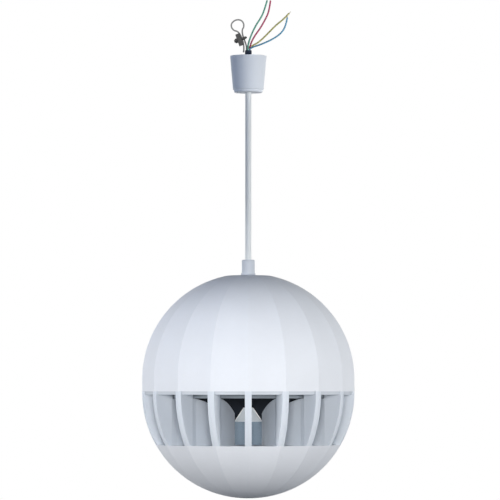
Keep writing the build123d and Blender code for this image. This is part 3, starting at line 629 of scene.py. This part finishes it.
def math_node(tree, operation, first, second):
    """A math node on a socket and on a socket or plain number."""
    node = tree.nodes.new("ShaderNodeMath")
    node.operation = operation
    tree.links.new(first, node.inputs[0])
    if isinstance(second, float):
        node.inputs[1].default_value = second
    else:
        tree.links.new(second, node.inputs[1])
    return node.outputs[0]


def seen_directly(tree):
    """One where the background itself shows: to the camera, or through gloss or glass."""
    path = tree.nodes.new("ShaderNodeLightPath")
    total = path.outputs["Is Camera Ray"]
    for name in ("Is Glossy Ray", "Is Transmission Ray"):
        total = math_node(tree, "MAXIMUM", total, path.outputs[name])
    return total


floor = flat_card("floor", (2 * FLOOR_HALF, 2 * FLOOR_HALF))
floor.location.z = FLOOR_Z
tree, base = painted(floor, "floor_pale", FLOOR_PAINT)
base.inputs["Roughness"].default_value = 0.9
base.inputs["Emission Color"].default_value = WHITE
glow = math_node(tree, "MULTIPLY", seen_directly(tree), FLOOR_GLOW)
tree.links.new(glow, base.inputs["Emission Strength"])

world = bpy.data.worlds.new("studio")
bpy.context.scene.world = world
world.use_nodes = True
tree = world.node_tree
tree.nodes.clear()
coords = tree.nodes.new("ShaderNodeTexCoord")
split = tree.nodes.new("ShaderNodeSeparateXYZ")
tree.links.new(coords.outputs["Generated"], split.inputs[0])
above = math_node(tree, "SUBTRACT", split.outputs["Z"], RING_CENTRE)
ring = tree.nodes.new("ShaderNodeMapRange")
ring.interpolation_type = "SMOOTHERSTEP"
ring.inputs["From Min"].default_value = 0.0
ring.inputs["From Max"].default_value = RING_HALF_WIDTH
ring.inputs["To Min"].default_value = RING_STRENGTH
ring.inputs["To Max"].default_value = AMBIENT_STRENGTH
away = tree.nodes.new("ShaderNodeMath")
away.operation = "ABSOLUTE"
tree.links.new(above, away.inputs[0])
tree.links.new(away.outputs[0], ring.inputs["Value"])
share = tree.nodes.new("ShaderNodeMapRange")
share.inputs["From Min"].default_value = AMBIENT_STRENGTH
share.inputs["From Max"].default_value = RING_STRENGTH
tree.links.new(ring.outputs["Result"], share.inputs["Value"])
hue = tree.nodes.new("ShaderNodeMix")
hue.data_type = "RGBA"
hue.inputs["A"].default_value = AMBIENT_HUE
hue.inputs["B"].default_value = WHITE
tree.links.new(share.outputs["Result"], hue.inputs["Factor"])
light = tree.nodes.new("ShaderNodeBackground")
tree.links.new(hue.outputs["Result"], light.inputs["Color"])
tree.links.new(ring.outputs["Result"], light.inputs["Strength"])
white = tree.nodes.new("ShaderNodeBackground")
white.inputs["Color"].default_value = WHITE
white.inputs["Strength"].default_value = 1.0
either = tree.nodes.new("ShaderNodeMixShader")
tree.links.new(seen_directly(tree), either.inputs["Fac"])
tree.links.new(light.outputs[0], either.inputs[1])
tree.links.new(white.outputs[0], either.inputs[2])
out = tree.nodes.new("ShaderNodeOutputWorld")
tree.links.new(either.outputs[0], out.inputs["Surface"])

card = flat_card("flag_left", CARD_SIZE)
card.location = CARD_CENTRE
card.rotation_mode = "QUATERNION"
card.rotation_quaternion = (-Vector(CARD_CENTRE)).to_track_quat("Z", "Y")
card.visible_camera = False
card.visible_glossy = False
painted(card, "flag_left", CARD_PAINT)


def softbox(name, azimuth, height, size, watts):
    """A soft level lamp towards the ball. Azimuth 0 is at the camera, 90 at the right."""
    lamp = link(bpy.data.objects.new(name, bpy.data.lights.new(name, "AREA")))
    lamp.data.shape = "RECTANGLE"
    lamp.data.size, lamp.data.size_y = size
    lamp.data.energy = watts
    turn = math.radians(azimuth)
    across, back = LAMP_DISTANCE * math.sin(turn), LAMP_DISTANCE * math.cos(turn)
    lamp.location = (across, -back, height)
    lamp.rotation_euler = (math.radians(90), 0, turn)
    lamp.visible_camera = False
    lamp.visible_glossy = False
    return lamp


for side, sign in (("right", 1), ("left", -1)):
    softbox(f"softbox_{side}", sign * SIDE_AZIMUTH, SIDE_HEIGHT, SIDE_SIZE, SIDE_WATTS)
    softbox(f"softbox_front_{side}", sign * FRONT_AZIMUTH, FRONT_HEIGHT, FRONT_SIZE, FRONT_WATTS)
    softbox(f"softbox_rear_{side}", sign * REAR_AZIMUTH, SIDE_HEIGHT, SIDE_SIZE, REAR_WATTS)

camera = link(bpy.data.objects.new("camera", bpy.data.cameras.new("camera")))
camera.location = (CAMERA_X, -CAMERA_DISTANCE, CAMERA_HEIGHT)
camera.rotation_euler = (math.radians(90 + CAMERA_TILT), 0, 0)
camera.data.sensor_width = SENSOR
camera.data.lens = SENSOR * CAMERA_DISTANCE / (PHOTO_PIXELS * PIXEL_SIZE)
camera.data.clip_start = CLIP_NEAR
camera.data.clip_end = CLIP_FAR
bpy.context.scene.camera = camera

bpy.context.scene.view_settings.view_transform = "Standard"
